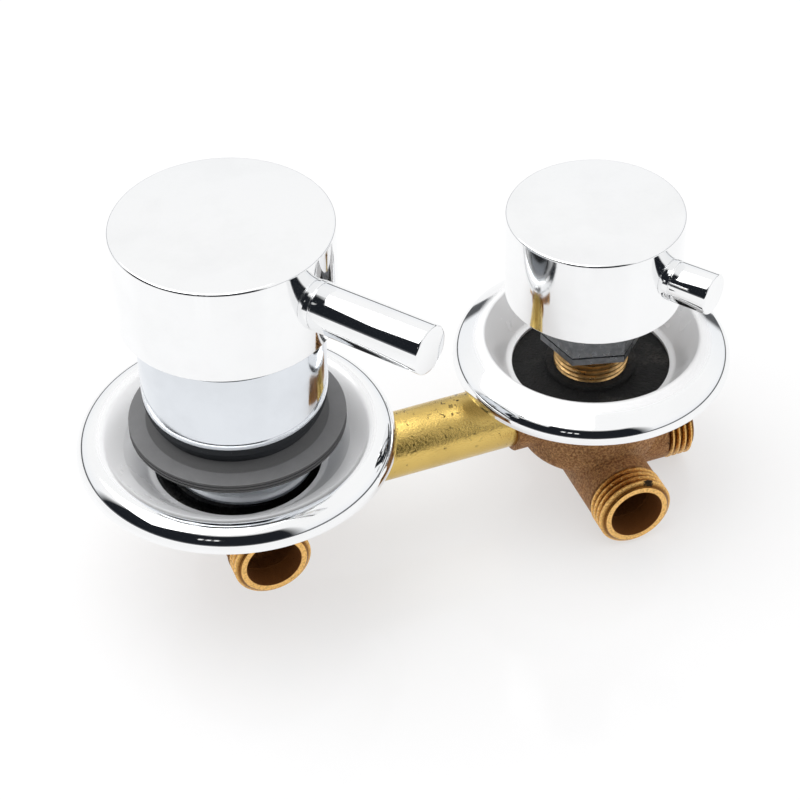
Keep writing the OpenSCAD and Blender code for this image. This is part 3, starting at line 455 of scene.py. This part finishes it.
def tube_material(name, colour):
    """Polished brass tube: mirror gold with small dark pits and a faint cloudy stain."""
    material, tree, shader, where = start_material(name, colour, 1.0, 0.16)
    skin = placed_group(tree, "Sand cast skin", Position=where, Grain=1500.0)
    stain = ramp(tree, skin.outputs["Tone"], 0.42, 0.7)
    tone = mixed(tree, maths(tree, "MULTIPLY", stain, 0.45), (*colour, 1.0), (*[c * 0.55 for c in colour], 1.0))
    dirt = maths(tree, "MULTIPLY", ramp(tree, noise(tree, where, 800.0, 2.0), 0.62, 0.67),
                 ramp(tree, noise(tree, where, 75.0, 2.0), 0.48, 0.60))
    tone = mixed(tree, maths(tree, "MAXIMUM", skin.outputs["Pits"], dirt), tone, (0.05, 0.03, 0.012, 1.0))
    tree.links.new(tone, shader.inputs["Base Color"])
    tree.links.new(ramp(tree, stain, 0.0, 1.0, 0.13, 0.30), shader.inputs["Roughness"])
    bump(tree, shader, skin.outputs["Height"], 0.00016)
    return material


def rubber_material(name, colour, rim=None):
    """Moulded rubber: matt, with a fine grain and a pale bloom.

    rim is (inner radius, outer radius, height) of a ring about the mixer axis: inside the inner radius, and past the
    outer radius below the height, the rubber is painted darker as shade on the inner cone and the outer edge, and in
    glossy rays the ring is painted near black, a painted reflection for the bright metal to mirror.
    """
    material, tree, shader, where = start_material(name, colour, 0.0, 0.62)
    grain = noise(tree, where, 3500.0, 3.0, 0.6)
    bloom = ramp(tree, noise(tree, where, 120.0, 4.0, 0.6), 0.4, 0.75)
    tone = mixed(tree, maths(tree, "MULTIPLY", bloom, 0.25), (*colour, 1.0), (*[min(1.0, c * 1.7) for c in colour], 1.0))
    if rim:
        radius = axis_distance(tree, where, 0.0)
        height = add(tree, "ShaderNodeSeparateXYZ", in_0=where).outputs["Z"]
        # Painted shade: the inner cone and the outer edge below the top are painted darker than the rest of the ring.
        flat = maths(tree, "MULTIPLY", ramp(tree, radius, rim[0], rim[0] + 0.0003),
                     maths(tree, "MAXIMUM", ramp(tree, radius, rim[1], rim[1] - 0.0002), ramp(tree, height, rim[2], rim[2] + 0.0001)))
        tone = mixed(tree, flat, (*[c * 0.45 for c in colour], 1.0), tone)
        # Painted reflection: glossy rays see the ring near black, so the bonnet above mirrors a black band.
        painted_black_reflection = tree.nodes.new("ShaderNodeLightPath").outputs["Is Glossy Ray"]
        tone = mixed(tree, painted_black_reflection, tone, (0.006, 0.007, 0.009, 1.0))
    tree.links.new(tone, shader.inputs["Base Color"])
    tree.links.new(ramp(tree, grain, 0.3, 0.7, 0.52, 0.70), shader.inputs["Roughness"])
    bump(tree, shader, grain, 0.00006)
    return material


def plain_metal(name, colour, roughness, ring_scale):
    """Turned metal: fine tool rings and a slightly uneven sheen."""
    material, tree, shader, where = start_material(name, colour, 1.0, roughness)
    stretched = add(tree, "ShaderNodeMapping", in_Vector=where)
    stretched.inputs["Scale"].default_value = (ring_scale * 0.04, ring_scale * 0.04, ring_scale)
    rings = noise(tree, stretched.outputs[0], 1.0, 2.0)
    tree.links.new(ramp(tree, rings, 0.3, 0.7, roughness * 0.8, roughness * 1.3), shader.inputs["Roughness"])
    tone = mixed(tree, ramp(tree, rings, 0.3, 0.7), (*colour, 1.0), (*[c * 0.86 for c in colour], 1.0))
    tree.links.new(tone, shader.inputs["Base Color"])
    bump(tree, shader, rings, 0.00002)
    return material


def headpart_material(name, split_z, plating, brass):
    """Nickel plated hexagon above a height, bare brass thread below it."""
    material, tree, shader, where = start_material(name, plating, 1.0, 0.28)
    height = add(tree, "ShaderNodeSeparateXYZ", in_0=where).outputs["Z"]
    upper = ramp(tree, height, split_z - 0.00005, split_z + 0.00005)
    cloud = noise(tree, where, 500.0, 4.0, 0.6)
    dull = mixed(tree, ramp(tree, cloud, 0.4, 0.7), (*plating, 1.0), (*[c * 0.7 for c in plating], 1.0))
    warm = mixed(tree, ramp(tree, cloud, 0.4, 0.7), (*brass, 1.0), (*[c * 0.6 for c in brass], 1.0))
    tree.links.new(mixed(tree, upper, warm, dull), shader.inputs["Base Color"])
    tree.links.new(ramp(tree, cloud, 0.3, 0.7, 0.22, 0.42), shader.inputs["Roughness"])
    bump(tree, shader, cloud, 0.00008)
    return material


def ceramic_material(name, colour):
    """Lapped ceramic: pale, close grained and smooth."""
    material, tree, shader, where = start_material(name, colour, 0.0, 0.2)
    grain = noise(tree, where, 2500.0, 4.0, 0.6)
    tone = mixed(tree, ramp(tree, grain, 0.4, 0.7), (*colour, 1.0), (*[c * 0.93 for c in colour], 1.0))
    tree.links.new(tone, shader.inputs["Base Color"])
    tree.links.new(ramp(tree, grain, 0.3, 0.7, 0.15, 0.28), shader.inputs["Roughness"])
    return material


def dress(names, material):
    """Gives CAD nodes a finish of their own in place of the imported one."""
    for name in names:
        mesh = NODES[name].data
        mesh.materials.clear()
        mesh.materials.append(material)


# Operators, one for each piece or group of like pieces


class VALVE_OT_finishes(bpy.types.Operator):
    """Make the shared node groups and every material."""

    bl_idname = "valve.finishes"
    bl_label = "Finishes"

    def execute(self, context):
        colours = context.scene.valve_colours
        smudge_group()
        cast_group()
        chrome = tuple(colours.chrome)
        chrome_material("Handle chrome", chrome, 0.045, 45.0, 0.55)
        chrome_material("Lever chrome", chrome, 0.04, 70.0, 0.4)
        chrome_material("Sleeve chrome", (0.76, 0.79, 0.83), 0.05, 50.0, 0.9)
        # Each plate's face is painted near white inside the inner radius, a painted reflection of the white
        # surroundings.
        for node in ("mixer_escutcheon", "diverter_escutcheon"):
            low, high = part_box(node)
            outer = (high.x - low.x) / 2
            chrome_material(node.replace("escutcheon", "plate") + " chrome", chrome, 0.05, 35.0, 0.5,
                            ((low.x + high.x) / 2, outer - 7.5 * MM, outer - 5.0 * MM))
        machined = (0.96, 0.57, 0.19)
        mixer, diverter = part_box("mixer_body"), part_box("diverter_body")
        turned = 7.8 * MM
        inlet_z = 11.0 * MM
        casting_material("Mixer casting", tuple(colours.casting), machined,
                         [("Y", (0.0, 0.0, inlet_z), mixer[1].y - turned)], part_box("mixer_tower")[0].z)
        casting_material("Diverter casting", tuple(colours.casting), machined,
                         [("Y", (DIVERTER_X, 0.0, 0.0), diverter[1].y - turned),
                          ("X", (DIVERTER_X, 0.0, 0.0), diverter[1].x - DIVERTER_X - turned)],
                         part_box("diverter_escutcheon")[0].z, SCAR)
        tube_material("Polished tube", tuple(colours.brass))
        # The seal ring gets painted shade on its inner cone and outer edge, and a painted black reflection in glossy
        # rays.
        low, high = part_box("gasket_ring")
        rubber_material("Grey rubber", tuple(colours.rubber), (23.5 * MM, high.x - 0.2 * MM, low.z + 2.6 * MM))
        rubber_material("Black rubber", (0.02, 0.02, 0.02))
        rubber_material("Cartridge plastic", (0.10, 0.12, 0.14))
        plain_metal("Turned brass", (0.70, 0.49, 0.20), 0.3, 9000.0)
        plain_metal("Turned steel", (0.56, 0.56, 0.57), 0.28, 9000.0)
        hex_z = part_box("headpart")[0].z + 27.2 * MM
        # The plating is painted dark grey, darker than bare nickel, as a painted reflection of the dark surroundings
        # the hexagon mirrors.
        headpart_material("Headpart", hex_z, (0.30, 0.31, 0.325), (0.66, 0.42, 0.18))
        ceramic_material("Ceramic", (0.86, 0.84, 0.78))
        return {"FINISHED"}


class VALVE_OT_castings(bpy.types.Operator):
    """Finish the castings, the headpart and the inner pieces, whose solids are shown as they are."""

    bl_idname = "valve.castings"
    bl_label = "Castings and inner pieces"

    def execute(self, context):
        found = bpy.data.materials
        dress(["mixer_body"], found["Mixer casting"])
        dress(["diverter_body"], found["Diverter casting"])
        dress(["headpart"], found["Headpart"])
        dress(["mixer_tower", "retaining_nut", "diverter_spindle"], found["Turned brass"])
        dress(["stem_pin", "mixer_stem", "mixer_screw", "diverter_screw", "spindle_clip"], found["Turned steel"])
        dress(["base_seals", "sleeve_seals", "seat_seal", "spindle_seals"], found["Black rubber"])
        dress(["cartridge_base", "cartridge_housing", "disc_carrier", "stem_driver"], found["Cartridge plastic"])
        dress(["fixed_disc", "moving_disc", "stator_disc", "rotor_disc"], found["Ceramic"])
        return {"FINISHED"}


class VALVE_OT_tube(bpy.types.Operator):
    """Make the polished tube between the castings, a turned pipe along +X."""

    bl_idname = "valve.tube"
    bl_label = "Connecting tube"

    def execute(self, context):
        low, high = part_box("connecting_tube")
        radius = (high.y - low.y) / 2
        wall = 1.2 * MM
        length = high.x - low.x
        outline = rounded_outline([
            (radius, 0, 0.2 * MM), (radius, length, 0.2 * MM),
            (radius - wall, length, 0.2 * MM), (radius - wall, 0, 0.2 * MM),
        ], 4)
        points, faces = turned_surface(outline, context.scene.valve_trim.turns, True)
        points = placed(points, (low.x, 0, (low.z + high.z) / 2), (1, 0, 0))
        mesh_piece("tube_pipe", points, faces, "valve", bpy.data.materials["Polished tube"],
                   ["connecting_tube"])
        return {"FINISHED"}


class VALVE_OT_sleeve(bpy.types.Operator):
    """Make the chrome sleeve and bonnet: a neck, a flare arc, a straight wall and a dome about the tilt pivot."""

    bl_idname = "valve.sleeve"
    bl_label = "Sleeve and bonnet"

    def execute(self, context):
        low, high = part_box("bonnet")
        ring_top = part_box("gasket_ring")[1].z
        neck, neck_wall = 20.3 * MM, 0.7 * MM
        body_r, wall = high.x, 1.0 * MM
        foot_r, flare_h = 21.0 * MM, 8.5 * MM
        drop = body_r - foot_r
        flare_r = (drop**2 + flare_h**2) / (2 * drop)
        flare_centre = (body_r - flare_r, ring_top + flare_h)
        sweep = math.degrees(math.asin(flare_h / flare_r))
        mouth = 17.0 * MM
        dome = math.hypot(mouth, high.z - PIVOT_Z)
        outer_start = math.degrees(math.acos(body_r / dome))
        outer_end = math.degrees(math.acos(mouth / dome))
        inner = dome - wall
        inner_start = math.degrees(math.acos((body_r - wall) / inner))
        inner_end = math.degrees(math.acos(mouth / inner))
        outline = np.vstack([
            rounded_outline([
                (neck - neck_wall, low.z, 0.15 * MM), (neck, low.z, 0.45 * MM), (neck, ring_top, 0),
            ], 5)[:-1],
            [[neck, ring_top]],
            arc(flare_centre, flare_r, -sweep, 0, 26),
            arc((0, PIVOT_Z), dome, outer_start, outer_end, 22),
            arc((0, PIVOT_Z), inner, inner_end, inner_start, 22),
            arc(flare_centre, flare_r - wall, 0, -sweep, 26),
            [[neck - neck_wall, ring_top]],
        ])
        points, faces = turned_surface(outline, context.scene.valve_trim.turns, True)
        mesh_piece("bonnet_shell", points, faces, "valve", bpy.data.materials["Sleeve chrome"],
                   ["bonnet"])
        return {"FINISHED"}


class VALVE_OT_ring(bpy.types.Operator):
    """Make the rubber seal ring, with fine grooves round its edge and a lip against the bonnet."""

    bl_idname = "valve.ring"
    bl_label = "Seal ring"

    def execute(self, context):
        low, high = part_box("gasket_ring")
        groove = context.scene.valve_trim.ring_groove
        edge, inner = high.x, 20.4 * MM
        top = low.z + 2.8 * MM
        flat, lip = 23.6 * MM, 21.1 * MM
        corners = [(inner, low.z, 0.1 * MM), (edge, low.z, 0.35 * MM)]
        for share in (1 / 3, 2 / 3):
            middle = low.z + share * (top - low.z)
            corners += [
                (edge, middle - groove / 2, 0.08 * MM), (edge - groove, middle - groove / 2, 0),
                (edge - groove, middle + groove / 2, 0), (edge, middle + groove / 2, 0.08 * MM),
            ]
        corners += [(edge, top, 0.3 * MM), (flat, top, 0.2 * MM), (lip, high.z, 0.1 * MM), (inner, high.z, 0.1 * MM)]
        points, faces = turned_surface(rounded_outline(corners, 5), context.scene.valve_trim.turns, True)
        mesh_piece("seal_ring", points, faces, "valve", bpy.data.materials["Grey rubber"],
                   ["gasket_ring"])
        return {"FINISHED"}


def inner_corner(a, b, c, sheet):
    """Corner on the hidden face of a sheet bent at b: b moved along the sum of both left normals."""
    before, after = (b - a) / np.linalg.norm(b - a), (c - b) / np.linalg.norm(c - b)
    m, n = np.array([-before[1], before[0]]), np.array([-after[1], after[0]])
    return b - sheet * (m + n) / (1 + m @ n)


def plate_outline(outer, hole, crest, rim_r, edge, sheet):
    """Section of a cover plate: flat foot, funnel up to the crest, a straight fall or rise that meets the rim's
    circle at its tangent point, the rim's arc and a short straight edge, then the same way back one sheet lower."""
    middle = np.array([outer - rim_r, edge + 0.6 * MM])
    way = np.array(crest) - middle
    turn = math.degrees(math.atan2(way[1], way[0]) - math.acos(rim_r / np.linalg.norm(way)))
    rim, under = arc(middle, rim_r, turn, 0, 22), arc(middle, rim_r - sheet, 0, turn, 22)
    start, foot, top = np.array([hole, sheet]), np.array([hole + 1.5 * MM, sheet]), np.array(crest)
    low_top, low_foot = inner_corner(foot, top, rim[0], sheet), inner_corner(start, foot, top, sheet)
    return rounded_outline([
        (hole, sheet, 0.2 * MM), (*foot, 1.2 * MM), (*top, 0.9 * MM), *[(*p, 0) for p in rim],
        (outer, edge, 0.25 * MM), (outer - sheet, edge, 0.15 * MM), *[(*p, 0) for p in under],
        (*low_top, 0.4 * MM), (*low_foot, 0.6 * MM), (hole, 0, 0.2 * MM),
    ], 8)


class VALVE_OT_plates(bpy.types.Operator):
    """Make both cover plates: a foot, a funnel, a crest and a rounded rim, one sheet thick."""

    bl_idname = "valve.plates"
    bl_label = "Cover plates"

    def execute(self, context):
        trim = context.scene.valve_trim
        for node, hole, crest, rim_r, edge in (
            ("mixer_escutcheon", 22.0, (29.4, 7.5), 5.0, 6.1),
            ("diverter_escutcheon", 21.35, (29.1, 11.1), 4.2, 3.2),
        ):
            low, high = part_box(node)
            outline = plate_outline((high.x - low.x) / 2, hole * MM, [c * MM for c in crest], rim_r * MM, edge * MM,
                                    trim.sheet)
            points, faces = turned_surface(outline, trim.turns, True)
            points = placed(points, ((low.x + high.x) / 2, 0, low.z))
            name = node.replace("escutcheon", "plate")
            mesh_piece(name, points, faces, "valve", bpy.data.materials[name + " chrome"], [node])
        return {"FINISHED"}


class VALVE_OT_handles(bpy.types.Operator):
    """Make both handles: a flat-topped cap with a thin side wall and a hub inside."""

    bl_idname = "valve.handles"
    bl_label = "Handles"

    def execute(self, context):
        trim = context.scene.valve_trim
        edge = trim.edge
        for node, body, axis_x, wall, roof, hub, hub_drop in (
            ("mixer_handle", "mixer_tilt", 0.0, trim.handle_wall, trim.handle_roof, 8.5 * MM, 10.0 * MM),
            ("diverter_handle", "diverter_turn", DIVERTER_X, trim.knob_wall, trim.knob_roof, 7.5 * MM, 17.1 * MM),
        ):
            low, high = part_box(node)
            radius = (high.x - low.x) / 2
            bottom, top = 0.0, high.z - low.z
            under = top - roof
            outline = rounded_outline([
                (0, top, 0), (radius, top, edge), (radius, bottom, 0.3 * MM), (radius - wall, bottom, 0.3 * MM),
                (radius - wall, under, 1.0 * MM), (hub, under, 0.5 * MM), (hub, under - hub_drop, 0.3 * MM),
                (0, under - hub_drop, 0),
            ], 9)
            points, faces = turned_surface(outline, trim.turns, False)
            points = placed(points, (axis_x, 0, low.z))
            mesh_piece(node.replace("handle", "cap"), points, faces, body,
                       bpy.data.materials["Handle chrome"], [node])
        return {"FINISHED"}


class VALVE_OT_levers(bpy.types.Operator):
    """Make both lever bars: a round bar with a fine groove at its root and a chamfered end."""

    bl_idname = "valve.levers"
    bl_label = "Levers"

    def execute(self, context):
        trim = context.scene.valve_trim
        groove = trim.lever_groove
        for node, body, axis_x, radius, root, face, end in (
            ("mixer_lever", "mixer_tilt", 0.0, 6.3, 26.7, 27.9, 60.2),
            ("diverter_lever", "diverter_turn", DIVERTER_X, 5.5, 22.3, 23.5, 35.4),
        ):
            low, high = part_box(node)
            r, start, face, end = radius * MM, root * MM, face * MM, end * MM
            outline = rounded_outline([
                (0, start, 0), (r, start, 0), (r, face + 1 * MM, 0.12 * MM), (r - groove, face + 1 * MM, 0.1 * MM),
                (r - groove, face + 1.5 * MM, 0.1 * MM), (r, face + 1.5 * MM, 0.12 * MM), (r, end, 0.55 * MM), (0, end, 0),
            ], 6)
            points, faces = turned_surface(outline, 128, False)
            points = placed(points, (axis_x, 0, (low.z + high.z) / 2), heading(node))
            mesh_piece(node + "_bar", points, faces, body, bpy.data.materials["Lever chrome"], [node])
        return {"FINISHED"}


def camera_object(settings):
    """The camera at the photograph's place, its axes set from the aim and the right vector."""
    data = bpy.data.cameras.new("camera")
    data.lens, data.sensor_width = settings.lens, 36.0
    data.clip_start, data.clip_end = 0.01, 100.0
    camera = bpy.data.objects.new("camera", data)
    aim = Vector(settings.aim).normalized()
    right = (Vector(settings.right) - aim * aim.dot(Vector(settings.right))).normalized()
    up = right.cross(aim)
    turn = Matrix((right, up, -aim)).transposed().to_4x4()
    camera.matrix_world = Matrix.Translation(settings.eye) @ turn
    return camera


def floor_material():
    """White floor: takes the shadows, and shows near white to the camera and in the metal, most of all far away."""
    material, tree, shader, where = start_material("Studio floor", (0.86, 0.86, 0.865), 0.0, 0.35)
    speckle = noise(tree, where, 40.0, 2.0)
    tree.links.new(ramp(tree, speckle, 0.3, 0.7, 0.09, 0.13), shader.inputs["Roughness"])
    path = tree.nodes.new("ShaderNodeLightPath")
    seen = maths(tree, "MAXIMUM", path.outputs["Is Camera Ray"], path.outputs["Is Glossy Ray"])
    glow = add(tree, "ShaderNodeEmission", in_Strength=1.0)
    glow.inputs["Color"].default_value = (1.0, 1.0, 1.0, 1.0)
    slant = add(tree, "ShaderNodeLayerWeight", in_Blend=0.5).outputs["Facing"]
    mix = add(tree, "ShaderNodeMixShader", in_0=maths(tree, "MULTIPLY", seen, ramp(tree, slant, 0.45, 0.85, 0.55, 0.97)))
    tree.links.new(shader.outputs[0], mix.inputs[1])
    tree.links.new(glow.outputs[0], mix.inputs[2])
    tree.links.new(mix.outputs[0], tree.nodes["Material Output"].inputs["Surface"])
    return material


def studio_world(fill):
    """White surroundings with a dark skyline, a dark side and three small lamps in it, for the metal to mirror."""
    world = bpy.data.worlds.new("Studio")
    bpy.context.scene.world = world
    world.use_nodes = True
    tree = world.node_tree
    shade = tree.nodes["Background"]
    way = tree.nodes.new("ShaderNodeTexCoord").outputs["Generated"]
    split = add(tree, "ShaderNodeSeparateXYZ", in_0=way)
    height = split.outputs["Z"]
    plan = add(tree, "ShaderNodeCombineXYZ", in_0=split.outputs["X"], in_1=split.outputs["Y"])
    plan = add(tree, "ShaderNodeVectorMath", operation="NORMALIZE", in_0=plan.outputs[0])
    facing = add(tree, "ShaderNodeVectorMath", operation="DOT_PRODUCT", in_0=plan.outputs[0],
                 in_1=(-0.766, -0.643, 0.0)).outputs["Value"]
    low_band = maths(tree, "MULTIPLY", ramp(tree, height, 0.03, 0.09), ramp(tree, height, 0.89, 0.82))
    dark = maths(tree, "MULTIPLY", low_band, ramp(tree, facing, 0.26, 0.44))
    rim = maths(tree, "MULTIPLY", ramp(tree, height, -0.03, 0.01), ramp(tree, height, 0.15, 0.10))
    dark = maths(tree, "MAXIMUM", dark, maths(tree, "MULTIPLY", rim, 0.9))
    turn = maths(tree, "ARCTAN2", split.outputs["Y"], split.outputs["X"])
    count = maths(tree, "MULTIPLY", maths(tree, "ADD", turn, 2.269), 10.5)
    part = maths(tree, "ABSOLUTE", maths(tree, "SUBTRACT", maths(tree, "FRACT", maths(tree, "ADD", count, 10.5)), 0.5))
    lamps = maths(tree, "MULTIPLY", ramp(tree, part, 0.33, 0.27),
                  ramp(tree, maths(tree, "ABSOLUTE", count), 1.6, 1.5))
    tall = ramp(tree, maths(tree, "ABSOLUTE", maths(tree, "SUBTRACT", height, 0.55)), 0.055, 0.04)
    lamps = maths(tree, "MULTIPLY", lamps, tall)
    sky = mixed(tree, ramp(tree, height, 0.0, 0.6), (0.90, 0.92, 0.95, 1.0), (1.0, 1.0, 1.0, 1.0))
    mirror = mixed(tree, dark, sky, (0.012, 0.014, 0.018, 1.0))
    mirror = mixed(tree, lamps, mirror, (1.0, 1.0, 1.0, 1.0))
    path = tree.nodes.new("ShaderNodeLightPath")
    base = mixed(tree, path.outputs["Is Glossy Ray"], (fill, fill, fill, 1.0), mirror)
    colour = mixed(tree, path.outputs["Is Camera Ray"], base, (1.0, 1.0, 1.0, 1.0))
    tree.links.new(colour, shade.inputs["Color"])
    shade.inputs["Strength"].default_value = 1.0


class VALVE_OT_stage(bpy.types.Operator):
    """Make the floor, the light and the camera."""

    bl_idname = "valve.stage"
    bl_label = "Studio"

    def execute(self, context):
        scene = context.scene
        settings = scene.valve_studio
        side = 6.0
        mesh = bpy.data.meshes.new("floor")
        corners = [(-side, -side, FLOOR_Z), (side, -side, FLOOR_Z), (side, side, FLOOR_Z), (-side, side, FLOOR_Z)]
        mesh.from_pydata(corners, [], [(0, 1, 2, 3)])
        mesh.materials.append(floor_material())
        floor = bpy.data.objects.new("floor", mesh)
        scene.collection.objects.link(floor)
        studio_world(settings.fill)
        lamp = bpy.data.lights.new("key", "AREA")
        lamp.energy, lamp.size = settings.key, 0.9
        lamp_object = bpy.data.objects.new("key", lamp)
        lamp_object.location = (-0.25, 0.15, 0.95)
        aim = Vector((0.05, 0, 0.03)) - lamp_object.location
        lamp_object.rotation_mode = "QUATERNION"
        lamp_object.rotation_quaternion = aim.to_track_quat("-Z", "Y")
        scene.collection.objects.link(lamp_object)
        camera = camera_object(settings)
        scene.collection.objects.link(camera)
        scene.camera = camera
        scene.view_settings.view_transform = "Standard"
        return {"FINISHED"}


class VALVE_PT_panel(bpy.types.Panel):
    """Lists the steps that build the finish."""

    bl_idname = "VALVE_PT_panel"
    bl_label = "Shower Valve"
    bl_space_type = "VIEW_3D"
    bl_region_type = "UI"
    bl_category = "Shower Valve"

    def draw(self, context):
        for step in STEPS:
            self.layout.operator(step.bl_idname)


STEPS = (
    VALVE_OT_stage,
    VALVE_OT_finishes,
    VALVE_OT_castings,
    VALVE_OT_tube,
    VALVE_OT_sleeve,
    VALVE_OT_ring,
    VALVE_OT_plates,
    VALVE_OT_handles,
    VALVE_OT_levers,
)
CLASSES = (TrimSizes, FinishColours, StudioSettings, *STEPS, VALVE_PT_panel)


def register():
    """Registers the classes and hangs their settings on the scene."""
    for item in CLASSES:
        bpy.utils.register_class(item)
    bpy.types.Scene.valve_trim = PointerProperty(type=TrimSizes)
    bpy.types.Scene.valve_colours = PointerProperty(type=FinishColours)
    bpy.types.Scene.valve_studio = PointerProperty(type=StudioSettings)


def unregister():
    """Takes the settings and the classes away again."""
    del bpy.types.Scene.valve_trim
    del bpy.types.Scene.valve_colours
    del bpy.types.Scene.valve_studio
    for item in reversed(CLASSES):
        bpy.utils.unregister_class(item)


def main():
    """Builds everything in order."""
    register()
    bpy.ops.valve.stage()
    bpy.ops.valve.finishes()
    bpy.ops.valve.castings()
    bpy.ops.valve.tube()
    bpy.ops.valve.sleeve()
    bpy.ops.valve.ring()
    bpy.ops.valve.plates()
    bpy.ops.valve.handles()
    bpy.ops.valve.levers()


if __name__ == "__main__":
    main()
